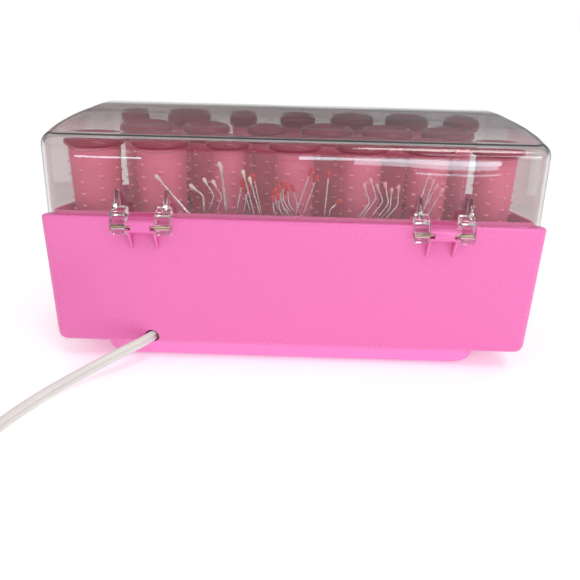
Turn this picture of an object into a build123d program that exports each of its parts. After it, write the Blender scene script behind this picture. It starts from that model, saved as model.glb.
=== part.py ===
from build123d import *
import os
import math

os.makedirs("parts", exist_ok=True)

# Heated hair roller set: a tapered tub on a plinth, a clear hinged lid, a level roller deck with
# twenty rollers on heated posts, a trough of roller pins behind the back row, and a flat mains lead.
# Millimetres. +Z is up, the hinges and the lead are on -Y, and the origin is the centre of the
# resting plane under the feet.

# ---- driving dimensions -------------------------------------------------------------------------
W, D = 340.0, 190.0            # rim of the tub, width and depth
Z_TUB = 16.0                   # underside of the tub
Z_REAR, Z_FRONT = 111.0, 85.0  # rim height at the rear wall and at the front wall
TUB_DRAFT = 0.019              # wall lean, mm per mm, narrower towards the bottom
TUB_WALL, TUB_R = 2.6, 7.0
RIM_W, RIM_T = 8.4, 3.2        # inward width and thickness of the rim band
LIP_IN, LIP_H = 6.6, 3.0       # locating lip inside the lid
LID_INSET, LID_DRAFT, LID_WALL = 2.9, 0.008, 2.2
LID_R, LID_TOP_R = 10.0, 8.0
LID_GAP = 0.3
HINGE_X, HINGE_Y, HINGE_Z = 99.5, -101.2, 106.5
PIN_R, BORE_R = 1.5, 1.57
KNUCKLE_IN, KNUCKLE_OUT, KNUCKLE_R = 9.9, 19.75, 5.5
BARREL_HALF, BARREL_R = 9.5, 4.25
REAR_Y = HINGE_Y - KNUCKLE_R   # rearmost point, and the lid's front lip reaches as far forward
DECK_TOP, DECK_T = 84.0, 2.5
RING_H = 4.0
PITCH, ROW_GAP, ROW_BACK = 46.2, 59.0, -59.5
POST_R, POST_TOP = 5.7, 130.0
CORE_R, CORE_TOP = 6.0, 139.0
ROLLER_BASE, CAP_Z, CAP_T = 88.1, 152.0, 7.0
PLATE_TOP, PLATE_T = 78.5, 3.0
TROUGH_Y0, TROUGH_Y1, TROUGH_FLOOR = -85.4, -77.6, 79.3
LENS_Y = 79.0
PLINTH_W, PLINTH_D, PLINTH_R = 284.0, 170.0, 24.0
FOOT_H = 2.5
HOLE_X, HOLE_Z, HOLE_R = -99.0, 22.2, 5.2
CORD_D = 6.4                   # round stand-in for the 8.4 x 4.0 flat lead

# barrel radius at the bottom and the top, and cap radius, of each roller size
SIZES = {
    "large": (15.9, 17.4, 20.5),
    "medium": (12.6, 13.8, 18.4),
    "small": (10.4, 11.4, 15.2),
    "mini": (8.5, 9.2, 12.0),
}
BACK = ["large", "large", "small", "medium", "medium", "medium", "medium"]
MIDDLE = ["large", "medium", "small", "large", "large", "large"]
FRONT = ["mini", "medium", "mini", "small", "medium", "medium", "small"]
ROLLERS = (
    [((i - 3) * PITCH, ROW_BACK, s) for i, s in enumerate(BACK)]
    + [((i - 2.5) * PITCH, ROW_BACK + ROW_GAP, s) for i, s in enumerate(MIDDLE)]
    + [((i - 3) * PITCH, ROW_BACK + 2 * ROW_GAP, s) for i, s in enumerate(FRONT)]
)
POSTS = [(x, y) for x, y, s in ROLLERS]
SCREWS = [(-128.0, -62.0), (128.0, -62.0), (-128.0, 62.0), (128.0, 62.0)]
FEET = [(-112.0, -60.0), (112.0, -60.0), (-112.0, 60.0), (112.0, 60.0)]

# the rim lies in a plane that falls from the rear wall to the front wall
TILT = math.degrees(math.atan2(Z_REAR - Z_FRONT, D))


def rim_plane(lift):
    return Plane(
        origin=(0, -D / 2, Z_REAR + lift),
        x_dir=(1, 0, 0),
        z_dir=(0, math.sin(math.radians(TILT)), math.cos(math.radians(TILT))),
    )


def tub_form(inset, z0, z1, radius):
    """The tub's tapered outer form, drawn in by inset, between two heights."""
    with BuildPart() as form:
        for z in (z0, z1):
            lean = (Z_REAR - z) * TUB_DRAFT + inset
            with BuildSketch(Plane.XY.offset(z)):
                RectangleRounded(W - 2 * lean, D - 2 * lean, radius)
        loft(ruled=True)
    return form.part


def lid_form(inset, radius, top_radius):
    """The lid's solid form, drawn in by inset all round and on top."""
    with BuildPart() as form:
        for z in (70.0, 176.0):
            lean = LID_INSET + (z - Z_REAR) * LID_DRAFT + inset
            with BuildSketch(Plane.XY.offset(z)):
                RectangleRounded(W - 2 * lean, D - 2 * lean, radius)
        loft(ruled=True)
        with BuildSketch(Plane.YZ.offset(-200)) as side:
            with BuildLine():
                roof = Spline(
                    (-100, 160.4 - inset),
                    (-84, 163.8 - inset),
                    (-62, 167.0 - inset),
                    (-30, 168.7 - inset),
                    (20, 169.0 - inset),
                    (62, 167.7 - inset),
                    (84, 164.4 - inset),
                    (100, 160.4 - inset),
                )
                Polyline((100, 160.4 - inset), (100, 60), (-100, 60), (-100, 160.4 - inset))
            make_face()
        extrude(amount=400, mode=Mode.INTERSECT)
        top = form.faces().sort_by(Axis.Z)[-1]
        fillet(top.edges(), top_radius)
    return form.part


def corner_radii(points):
    """0.45 of the shorter run over the tangent of half the turn, at each inner point."""
    radii = []
    for a, b, c in zip(points, points[1:], points[2:]):
        u, v = Vector(*b) - Vector(*a), Vector(*c) - Vector(*b)
        turn = math.radians(u.get_angle(v))
        radii.append(0.45 * min(u.length, v.length) / math.tan(turn / 2))
    return radii


# ---- tub ----------------------------------------------------------------------------------------
with BuildPart() as rim_band:
    add(tub_form(0, 60, Z_REAR, TUB_R))
    add(tub_form(RIM_W, 60, Z_REAR, 5.6), mode=Mode.SUBTRACT)
    split(bisect_by=rim_plane(0), keep=Keep.BOTTOM)
    split(bisect_by=rim_plane(-RIM_T), keep=Keep.TOP)

with BuildPart() as lip_band:
    add(tub_form(LIP_IN, 60, Z_REAR + 8, 7.6))
    add(tub_form(RIM_W, 60, Z_REAR + 8, 5.6), mode=Mode.SUBTRACT)
    split(bisect_by=rim_plane(LIP_H), keep=Keep.BOTTOM)
    split(bisect_by=rim_plane(-1.0), keep=Keep.TOP)

with BuildPart() as base_shell:
    add(tub_form(0, Z_TUB, Z_REAR, TUB_R))
    fillet(base_shell.faces().sort_by(Axis.Z)[0].edges(), 6.5)
    add(tub_form(TUB_WALL, Z_TUB + TUB_WALL, Z_REAR + 1, TUB_R - TUB_WALL), mode=Mode.SUBTRACT)
    split(bisect_by=rim_plane(0), keep=Keep.BOTTOM)
    add(rim_band.part)
    add(lip_band.part)
    # ledge that carries the deck
    with BuildSketch(Plane.XY.offset(DECK_TOP - DECK_T - 3.1)):
        RectangleRounded(W - 3.4, D - 3.4, TUB_R)
        RectangleRounded(W - 25, D - 25, 4, mode=Mode.SUBTRACT)
        with Locations((0, -84)):
            Rectangle(256, 10, mode=Mode.SUBTRACT)
    extrude(amount=3.0)
    # service opening in the floor, closed by the plinth
    with BuildSketch(Plane.XY.offset(Z_TUB - 1)):
        RectangleRounded(246, 122, 10)
    extrude(amount=TUB_WALL + 2, mode=Mode.SUBTRACT)
    # screw bosses
    with BuildSketch(Plane.XY.offset(Z_TUB + TUB_WALL - 0.2)):
        with Locations(*SCREWS):
            Circle(4.5)
    extrude(amount=12)
    with BuildSketch(Plane.XY.offset(Z_TUB - 1)):
        with Locations(*SCREWS):
            Circle(1.5)
    extrude(amount=13, mode=Mode.SUBTRACT)
    # hole for the lead
    with BuildSketch(Plane.XZ.offset(D / 2 - 8)):
        with Locations((HOLE_X, HOLE_Z)):
            Circle(HOLE_R)
    extrude(amount=12, mode=Mode.SUBTRACT)
    # hinge barrels with their webs and gussets
    for side in (-1, 1):
        with BuildSketch(Plane.YZ.offset(side * HINGE_X - BARREL_HALF)):
            with Locations((HINGE_Y, HINGE_Z)):
                Circle(BARREL_R)
            with Locations((-97.6, HINGE_Z)):
                Rectangle(7.2, 2 * BARREL_R)
        extrude(amount=2 * BARREL_HALF)
        for rib in (-8.7, 8.7):
            with BuildSketch(Plane.YZ.offset(side * HINGE_X + rib - 0.8)):
                with BuildLine():
                    Polyline(
                        (HINGE_Y - 2.6, HINGE_Z - 3.0),
                        (-94.6, HINGE_Z - 3.0),
                        (-94.6, 89.6),
                        (-95.3, 89.6),
                        close=True,
                    )
                make_face()
            extrude(amount=1.6)
        with BuildSketch(Plane.YZ.offset(side * HINGE_X - BARREL_HALF - 1)):
            with Locations((HINGE_Y, HINGE_Z)):
                Circle(BORE_R)
        extrude(amount=2 * BARREL_HALF + 2, mode=Mode.SUBTRACT)
        for end in (-1, 1):
            with BuildSketch(Plane.XY.offset(HINGE_Z - 1.6)):
                with Locations((side * HINGE_X + end * (BARREL_HALF - 1.5), HINGE_Y - 2.0)):
                    Rectangle(3.2, 6.0)
            extrude(amount=3.2, mode=Mode.SUBTRACT)
base_shell.part.label = "base_shell"

# ---- plinth, feet and screws --------------------------------------------------------------------
with BuildPart() as bottom_cover:
    for z, inset in ((Z_TUB - 0.1, 0.0), (FOOT_H, 4.0)):
        with BuildSketch(Plane.XY.offset(z)):
            RectangleRounded(PLINTH_W - 2 * inset, PLINTH_D - 2 * inset, PLINTH_R - inset)
    loft(ruled=True)
    fillet(bottom_cover.faces().sort_by(Axis.Z)[0].edges(), 1.5)
    with BuildSketch(Plane.XY.offset(FOOT_H + 2.5)):
        RectangleRounded(PLINTH_W - 14, PLINTH_D - 14, PLINTH_R - 8)
    extrude(amount=20, mode=Mode.SUBTRACT)
    # screw pillars, drilled through and counterbored from below
    with BuildSketch(Plane.XY.offset(FOOT_H + 2.3)):
        with Locations(*SCREWS):
            Circle(5.0)
    extrude(amount=Z_TUB - 0.1 - FOOT_H - 2.3)
    with BuildSketch(Plane.XY.offset(FOOT_H - 1)):
        with Locations(*SCREWS):
            Circle(1.9)
    extrude(amount=30, mode=Mode.SUBTRACT)
    with BuildSketch(Plane.XY.offset(FOOT_H - 1)):
        with Locations(*SCREWS):
            Circle(3.4)
    extrude(amount=7, mode=Mode.SUBTRACT)
    # sockets for the feet
    with BuildSketch(Plane.XY.offset(FOOT_H - 1)):
        with Locations(*FEET):
            Circle(6.3)
    extrude(amount=1.8, mode=Mode.SUBTRACT)
bottom_cover.part.label = "bottom_cover"

with BuildPart() as rubber_feet:
    with BuildSketch(Plane.XY):
        with Locations(*FEET):
            Circle(6.0)
    extrude(amount=FOOT_H + 0.7)
    chamfer(rubber_feet.faces().filter_by(Axis.Z).group_by(Axis.Z)[0].edges(), 0.6)
rubber_feet.part.label = "rubber_feet"

with BuildPart() as cover_screws:
    with BuildSketch(Plane.XY.offset(FOOT_H + 3.9)):
        with Locations(*SCREWS):
            Circle(3.0)
    extrude(amount=2.0)
    with BuildSketch(Plane.XY.offset(FOOT_H + 5.8)):
        with Locations(*SCREWS):
            Circle(1.4)
    extrude(amount=18)
    # cross slots
    with BuildSketch(Plane.XY.offset(FOOT_H + 3.8)):
        with Locations(*SCREWS):
            Rectangle(3.4, 0.7)
            Rectangle(0.7, 3.4)
    extrude(amount=1.0, mode=Mode.SUBTRACT)
cover_screws.part.label = "cover_screws"

# ---- roller deck with the pin trough ------------------------------------------------------------
with BuildPart() as roller_deck:
    with BuildSketch(Plane.XY.offset(DECK_TOP - DECK_T)):
        RectangleRounded(W - 19.4, D - 19.4, 5.6)
    extrude(amount=DECK_T)
    with BuildSketch(Plane.XY.offset(DECK_TOP - 0.1)):
        with Locations(*POSTS):
            Circle(8.2)
    extrude(amount=RING_H + 0.1)
    # spacers down to the heater plate, midway between the rows
    with BuildSketch(Plane.XY.offset(PLATE_TOP + 0.05)):
        with GridLocations(3 * PITCH, ROW_GAP, 3, 2):
            Circle(4.0)
    extrude(amount=DECK_TOP - DECK_T - PLATE_TOP)
    # trough for the roller pins
    with BuildSketch(Plane.XY.offset(TROUGH_FLOOR - 1.5)):
        with Locations((0, (TROUGH_Y0 + TROUGH_Y1) / 2)):
            Rectangle(250, TROUGH_Y1 - TROUGH_Y0 + 0.0)
    extrude(amount=DECK_TOP - DECK_T - TROUGH_FLOOR + 1.6)
    with BuildSketch(Plane.XY.offset(TROUGH_FLOOR)):
        with Locations((0, (TROUGH_Y0 + TROUGH_Y1) / 2)):
            Rectangle(247, TROUGH_Y1 - TROUGH_Y0 - 2.0)
    extrude(amount=20, mode=Mode.SUBTRACT)
    with BuildSketch(Plane.XY.offset(60)):
        with Locations(*POSTS):
            Circle(6.5)
    extrude(amount=40, mode=Mode.SUBTRACT)
    # seat of the indicator lens, at the front
    with BuildSketch(Plane.XY.offset(60)):
        with Locations((0, LENS_Y)):
            Circle(3.3)
    extrude(amount=40, mode=Mode.SUBTRACT)
roller_deck.part.label = "roller_deck"

with BuildPart() as ready_light:
    with BuildSketch(Plane.XY.offset(DECK_TOP - DECK_T - 6)):
        with Locations((0, LENS_Y)):
            Circle(3.0)
    extrude(amount=DECK_T + 6.1)
    with BuildSketch(Plane.XY.offset(DECK_TOP + 0.05)):
        with Locations((0, LENS_Y)):
            Circle(4.2)
    extrude(amount=1.8)
    fillet(ready_light.faces().sort_by(Axis.Z)[-1].edges(), 1.2)
ready_light.part.label = "ready_light"

# ---- heater -------------------------------------------------------------------------------------
with BuildPart() as heater_plate:
    with BuildSketch(Plane.XY.offset(PLATE_TOP - PLATE_T)):
        RectangleRounded(304, 144, 6)
    extrude(amount=PLATE_T)
heater_plate.part.label = "heater_plate"

with BuildPart() as heating_posts:
    with BuildSketch(Plane.XY.offset(PLATE_TOP)):
        with Locations(*POSTS):
            Circle(POST_R)
    extrude(amount=POST_TOP - PLATE_TOP)
    fillet(heating_posts.faces().filter_by(Axis.Z).group_by(Axis.Z)[-1].edges(), 1.5)
heating_posts.part.label = "heating_posts"

ELEMENT_Z = PLATE_TOP - PLATE_T - 3.0
with BuildPart() as heater_element:
    with BuildLine() as element_path:
        FilletPolyline(
            (-140, -30, ELEMENT_Z),
            (134, -30, ELEMENT_Z),
            (134, 30, ELEMENT_Z),
            (-140, 30, ELEMENT_Z),
            radius=24,
        )
    with BuildSketch(Plane(origin=(-140, -30, ELEMENT_Z), z_dir=(1, 0, 0))):
        Circle(2.95)
    sweep()
heater_element.part.label = "heater_element"

with BuildPart() as thermostat:
    with BuildSketch(Plane.XY.offset(PLATE_TOP - PLATE_T - 9)):
        Circle(9)
    extrude(amount=9)
    with BuildSketch(Plane.XY.offset(PLATE_TOP - PLATE_T - 13)):
        with Locations((-5, 0), (5, 0)):
            Rectangle(0.8, 6.0)
    extrude(amount=4.2)
thermostat.part.label = "thermostat"

# ---- lead clamp and inner wiring ----------------------------------------------------------------
CLAMP_Z = HOLE_Z
with BuildPart() as cord_clamp:
    with BuildSketch(Plane.XY.offset(Z_TUB + TUB_WALL + 0.05)):
        with Locations((-96, -71.5)):
            Rectangle(22, 9)
    extrude(amount=12)
    fillet(cord_clamp.edges().filter_by(Axis.Z), 2.0)
cord_clamp.part.label = "cord_clamp"

with BuildPart() as wiring:
    runs = [
        # clamp to the near end of the element
        [(-99, -66.9, 24), (-99, -56, 24), (-150, -56, 40), (-150, -30, 66), (-143.6, -30, ELEMENT_Z)],
        # clamp to the thermostat
        [(-92, -66.9, 24), (-92, -52, 24), (-40, -20, 40), (-7.0, 0, 50), (-7.0, 0, 63)],
        # thermostat to the far end of the element
        [(7.0, 0, 63), (7.0, 0, 50), (-70, 44, 44), (-151, 44, 56), (-151, 30, ELEMENT_Z), (-143.6, 30, ELEMENT_Z)],
    ]
    for run in runs:
        with BuildLine() as path:
            FilletPolyline(*run, radius=3.0)
        with BuildSketch(Plane(origin=path.line @ 0, z_dir=path.line % 0)):
            Circle(1.3)
        sweep(path=path.line)
wiring.part.label = "wiring"

# ---- lid ----------------------------------------------------------------------------------------
with BuildPart() as lid:
    add(lid_form(0, LID_R, LID_TOP_R))
    add(lid_form(LID_WALL, LID_R - LID_WALL, LID_TOP_R - LID_WALL), mode=Mode.SUBTRACT)
    split(bisect_by=rim_plane(LID_GAP), keep=Keep.TOP)
    # two knuckles to each hinge, with an arm over the rim and a tall tapered rib on the wall
    for side in (-1, 1):
        for end in (-1, 1):
            mid = side * HINGE_X + end * (KNUCKLE_IN + KNUCKLE_OUT) / 2
            width = KNUCKLE_OUT - KNUCKLE_IN
            with BuildSketch(Plane.YZ.offset(mid - width / 2)):
                with Locations((HINGE_Y, HINGE_Z)):
                    Circle(KNUCKLE_R)
                with BuildLine():
                    Polyline(
                        (HINGE_Y - KNUCKLE_R + 0.1, HINGE_Z + 0.5),
                        (HINGE_Y - 2.6, 117.6),
                        (-90.4, 118.6),
                        (-90.4, 112.0),
                        (-95.6, 111.5),
                        (HINGE_Y + KNUCKLE_R - 0.3, HINGE_Z + 1.0),
                        close=True,
                    )
                make_face()
            extrude(amount=width)
            rib = mid + end * 1.6
            with BuildSketch(Plane.YZ.offset(rib - 1.5)):
                with BuildLine():
                    Polyline(
                        (HINGE_Y - 2.7, 116.0),
                        (-92.0, 129.5),
                        (-90.2, 129.5),
                        (-90.4, 114.0),
                        close=True,
                    )
                make_face()
            extrude(amount=3.0)
            with BuildSketch(Plane.YZ.offset(mid - width / 2 - 1)):
                with Locations((HINGE_Y, HINGE_Z)):
                    Circle(BORE_R)
            extrude(amount=width + 2, mode=Mode.SUBTRACT)
    # thumb lip at the front
    with BuildSketch(Plane.YZ.offset(-34)):
        with BuildLine():
            Polyline((90.2, 92.0), (-REAR_Y, 90.4), (-REAR_Y, 92.8), (90.2, 98.0), close=True)
        make_face()
    extrude(amount=68)
lid.part.label = "lid"

with BuildPart() as hinge_pins:
    for side in (-1, 1):
        with BuildSketch(Plane.YZ.offset(side * HINGE_X - KNUCKLE_OUT + 0.8)):
            with Locations((HINGE_Y, HINGE_Z)):
                Circle(PIN_R)
        extrude(amount=2 * KNUCKLE_OUT - 1.6)
hinge_pins.part.label = "hinge_pins"

# ---- rollers ------------------------------------------------------------------------------------
roller_parts = []
for number, (x, y, size) in enumerate(ROLLERS, start=1):
    r_low, r_top, r_cap = SIZES[size]
    with BuildPart() as barrel:
        with BuildSketch(Plane.XZ):
            with BuildLine():
                Polyline(
                    (CORE_R, ROLLER_BASE),
                    (r_low, ROLLER_BASE),
                    (r_top, CAP_Z),
                    (0, CAP_Z),
                    (0, CORE_TOP),
                    (CORE_R, CORE_TOP),
                    close=True,
                )
            make_face()
        revolve(axis=Axis.Z)
    with BuildPart() as cap:
        with BuildSketch(Plane.XY.offset(CAP_Z)):
            Circle(r_cap)
        extrude(amount=CAP_T)
        fillet(cap.faces().sort_by(Axis.Z)[-1].edges(), 3.6)
        fillet(cap.faces().sort_by(Axis.Z)[0].edges(), 3.0)
        with BuildSketch(Plane.XY.offset(CAP_Z + CAP_T - 1.6)):
            Circle(r_cap - 6.0)
        extrude(amount=3, mode=Mode.SUBTRACT)
    here = Location((x, y, 0))
    one = barrel.part.moved(here)
    two = cap.part.moved(here)
    one.label = f"roller_{number:02d}_barrel"
    two.label = f"roller_{number:02d}_cap"
    roller_parts += [one, two]

# ---- roller pins: each a bent wire with two beaded legs -----------------------------------------
# (y in the trough, one leg from bead to foot, the other leg), legs as (x, z)
PINS = [
    (-83.8, [(-91.4, 136.8), (-57.0, 94.5)], [(-96.2, 131.0), (-61.8, 88.7)]),
    (-81.5, [(-69.0, 130.6), (-61.0, 124.3), (-60.2, 80.6)], [(-73.0, 128.0), (-66.4, 121.8), (-65.4, 80.6)]),
    (-79.2, [(-60.2, 134.3), (-53.6, 123.2), (-71.0, 80.6)], [(-54.2, 133.1), (-48.2, 122.8), (-64.5, 80.6)]),
    (-82.65, [(-49.2, 146.0), (-47.4, 134.0), (-42.6, 80.6)], [(-44.0, 141.0), (-42.0, 130.0), (-37.6, 80.6)]),
    (-80.35, [(-34.4, 134.2), (-44.2, 80.6)], [(-30.2, 131.0), (-39.2, 80.6)]),
    (-83.8, [(-33.6, 141.4), (-18.0, 80.6)], [(-29.2, 137.0), (-13.2, 80.6)]),
    (-79.2, [(-27.2, 138.4), (-14.8, 80.6)], [(-34.0, 129.4), (-19.8, 80.6)]),
    (-82.65, [(-12.6, 129.4), (-11.6, 119.5), (12.8, 80.6)], [(-9.4, 131.8), (-8.0, 120.4), (17.0, 80.6)]),
    (-80.35, [(-7.6, 134.0), (-6.4, 121.0), (18.0, 80.6)], [(-4.4, 132.4), (-3.0, 119.6), (22.2, 80.6)]),
    (-83.8, [(-10.4, 126.8), (-9.2, 117.0), (7.6, 80.6)], [(-13.8, 125.2), (-13.0, 115.0), (3.0, 80.6)]),
    (-79.2, [(-1.0, 131.4), (2.6, 120.2), (8.4, 80.6)], [(-5.4, 127.4), (-7.8, 120.4), (3.4, 80.6)]),
    (-81.5, [(11.2, 143.0), (-8.0, 80.6)], [(15.4, 139.0), (-3.0, 80.6)]),
    (-82.65, [(23.2, 142.6), (19.4, 80.6)], [(31.6, 123.6), (24.8, 116.5), (24.2, 80.6)]),
    (-83.8, [(50.8, 138.2), (55.6, 126.0), (28.6, 83.0)], [(46.8, 134.6), (51.4, 122.6), (24.4, 83.6)]),
    (-81.5, [(55.4, 134.2), (60.4, 123.2), (33.0, 80.8)], [(60.8, 135.4), (64.2, 122.0), (37.8, 80.8)]),
    (-79.2, [(70.3, 133.0), (70.8, 120.2), (41.4, 80.8)], [(65.8, 131.0), (65.8, 118.0), (37.0, 80.8)]),
    (-82.65, [(89.0, 142.4), (75.0, 80.8)], [(92.4, 138.6), (79.2, 80.8)]),
    (-80.35, [(95.4, 135.0), (72.0, 80.8)], [(99.4, 132.0), (76.6, 80.8)]),
]
WIRE_R, BEAD_R, BEAD_T = 0.45, 1.1, 1.1
with BuildPart() as hair_pins:
    for y, leg_a, leg_b in PINS:
        points = leg_a + leg_b[::-1]
        with BuildSketch(Plane.XZ.offset(-(y + WIRE_R))):
            with BuildLine():
                FilletPolyline(*points, radius=[min(r, 6.0) for r in corner_radii(points)])
            trace(line_width=2 * WIRE_R)
        extrude(amount=2 * WIRE_R)
        with BuildSketch(Plane.XZ.offset(-(y + BEAD_T / 2))):
            with Locations(points[0], points[-1]):
                Circle(BEAD_R)
        extrude(amount=BEAD_T)
hair_pins.part.label = "hair_pins"

# ---- mains lead, coil and plug ------------------------------------------------------------------
CORD_POINTS = [
    (-92.6, -76.05, 22.2),
    (-99.4, -95.0, 22.0),
    (-117.5, -110.5, 17.5),
    (-141.5, -126.5, 8.6),
    (-160.0, -150.5, 4.8),
    (-173.0, -182.0, 4.8),
    (-180.7, -213.0, 4.8),
    (-199.1, -239.3, 4.8),
    (-228.3, -252.3, 4.8),
    (-258.8, -246.9, 4.8),
]
COIL_X, COIL_Y, COIL_OUT, COIL_IN, COIL_H = -250.0, -195.0, 53.0, 35.0, 18.6
PLUG_ANGLE = math.radians(15.0)   # where the lead leaves the top of the coil for the plug
PLUG_L, PLUG_W, PLUG_H = 32.0, 24.0, 15.0
CORD_RADII = corner_radii(CORD_POINTS)
print("lead radii:", [round(r, 1) for r in CORD_RADII])
with BuildPart() as power_cord:
    with BuildLine() as lead:
        FilletPolyline(*CORD_POINTS, radius=CORD_RADII)
    with BuildSketch(Plane(origin=lead.line @ 0, z_dir=lead.line % 0)):
        Circle(CORD_D / 2)
    sweep(path=lead.line)
power_cord.part.label = "power_cord"
lead_length = sum(edge.length for edge in lead.edges())
print("lead length:", round(lead_length, 1), "volume over section x length:",
      round(power_cord.part.volume / (math.pi * CORD_D**2 / 4 * lead_length), 3))

with BuildPart() as cord_coil:
    with BuildSketch(Plane.XY.offset(0.2)):
        with Locations((COIL_X, COIL_Y)):
            Circle(COIL_OUT)
            Circle(COIL_IN, mode=Mode.SUBTRACT)
    extrude(amount=COIL_H)
cord_coil.part.label = "cord_coil"

# the plug lies along the top of the coil
along = (math.sin(PLUG_ANGLE), -math.cos(PLUG_ANGLE), 0)
plug_rear = Plane(
    origin=(
        COIL_X + 45.0 * math.cos(PLUG_ANGLE),
        COIL_Y + 45.0 * math.sin(PLUG_ANGLE),
        COIL_H + 0.2 + PLUG_H / 2,
    ),
    x_dir=(math.cos(PLUG_ANGLE), math.sin(PLUG_ANGLE), 0),
    z_dir=along,
)
with BuildPart() as plug:
    with BuildSketch(plug_rear):
        RectangleRounded(PLUG_W, PLUG_H, 3.5)
    extrude(amount=PLUG_L)
    with BuildSketch(plug_rear.offset(PLUG_L - 0.1)):
        with Locations((-6.35, 0), (6.35, 0)):
            Rectangle(1.5, 6.35)
    extrude(amount=17.1)
plug.part.label = "plug"

# ---- write one file per piece -------------------------------------------------------------------
for piece in [
    base_shell, bottom_cover, rubber_feet, cover_screws, roller_deck, ready_light, heater_plate,
    heating_posts, heater_element, thermostat, cord_clamp, wiring, lid, hinge_pins, hair_pins,
    power_cord, cord_coil, plug,
]:
    export_step(piece.part, f"parts/{piece.part.label}.step")
    print(piece.part.label, len(piece.part.solids()), round(piece.part.volume / 1000, 1))
for piece in roller_parts:
    export_step(piece, f"parts/{piece.label}.step")
print(len(roller_parts), "roller parts")
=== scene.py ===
import math
import random

import bmesh
import bpy
from mathutils import Matrix, Vector


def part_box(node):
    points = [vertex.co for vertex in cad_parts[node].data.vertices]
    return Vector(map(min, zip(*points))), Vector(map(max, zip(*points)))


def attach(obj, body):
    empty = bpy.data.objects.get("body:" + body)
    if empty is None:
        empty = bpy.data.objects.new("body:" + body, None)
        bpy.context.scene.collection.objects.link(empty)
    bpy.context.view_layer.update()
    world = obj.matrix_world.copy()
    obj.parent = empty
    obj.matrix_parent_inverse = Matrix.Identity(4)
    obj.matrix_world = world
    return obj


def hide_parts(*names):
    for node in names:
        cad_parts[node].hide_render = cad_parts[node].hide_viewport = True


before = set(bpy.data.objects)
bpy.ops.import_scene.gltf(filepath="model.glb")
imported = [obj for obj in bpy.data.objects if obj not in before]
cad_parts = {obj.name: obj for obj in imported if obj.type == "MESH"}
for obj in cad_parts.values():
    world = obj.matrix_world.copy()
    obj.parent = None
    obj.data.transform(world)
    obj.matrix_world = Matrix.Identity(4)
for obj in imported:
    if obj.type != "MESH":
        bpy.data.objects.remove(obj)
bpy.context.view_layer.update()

random.seed(7)
MM = 0.001
scene = bpy.context.scene

# ---- camera -------------------------------------------------------------------------------------
cam_data = bpy.data.cameras.new("camera")
cam_data.lens = 40.760
cam_data.sensor_width = 36.0
camera = bpy.data.objects.new("camera", cam_data)
scene.collection.objects.link(camera)
camera.matrix_world = (
    Matrix.Translation((0.006591, -0.514400, 0.235120))
    @ Matrix.Rotation(math.radians(0.9767), 4, "Z")
    @ Matrix.Rotation(math.radians(67.5865), 4, "X")
    @ Matrix.Rotation(math.radians(1.3256), 4, "Z")
)
scene.camera = camera
scene.view_settings.view_transform = "Standard"
scene.view_settings.look = "None"


# ---- node materials -----------------------------------------------------------------------------
def tree_of(name):
    m = bpy.data.materials.new(name)
    m.use_nodes = True
    nt = m.node_tree
    return m, nt, nt.nodes["Principled BSDF"]


def node(nt, kind, **inputs):
    n = nt.nodes.new(kind)
    for key, value in inputs.items():
        n.inputs[key.replace("_", " ")].default_value = value
    return n


def noise(nt, coords, scale, detail=3.0, rough=0.5, stretch=None):
    n = node(nt, "ShaderNodeTexNoise", Scale=scale, Detail=detail, Roughness=rough)
    if stretch:
        mapping = node(nt, "ShaderNodeMapping", Scale=stretch)
        nt.links.new(coords, mapping.inputs["Vector"])
        coords = mapping.outputs["Vector"]
    nt.links.new(coords, n.inputs["Vector"])
    return n.outputs["Fac"]


def ranged(nt, value, low, high, a=0.3, b=0.7):
    n = node(nt, "ShaderNodeMapRange")
    n.inputs["From Min"].default_value = a
    n.inputs["From Max"].default_value = b
    n.inputs["To Min"].default_value = low
    n.inputs["To Max"].default_value = high
    nt.links.new(value, n.inputs["Value"])
    return n.outputs["Result"]


def mixed(nt, factor, a, b):
    n = nt.nodes.new("ShaderNodeMix")
    n.data_type = "RGBA"
    for socket, value in ((n.inputs[6], a), (n.inputs[7], b)):
        if isinstance(value, tuple):
            socket.default_value = (*value[:3], 1.0)
        else:
            nt.links.new(value, socket)
    if isinstance(factor, float):
        n.inputs[0].default_value = factor
    else:
        nt.links.new(factor, n.inputs[0])
    return n.outputs[2]


def shade(c, k):
    return tuple(min(1.0, max(0.0, v * k)) for v in c)


def summed(nt, a, b, how="ADD"):
    n = nt.nodes.new("ShaderNodeMath")
    n.operation = how
    nt.links.new(a, n.inputs[0])
    if isinstance(b, float):
        n.inputs[1].default_value = b
    else:
        nt.links.new(b, n.inputs[1])
    return n.outputs[0]


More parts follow.
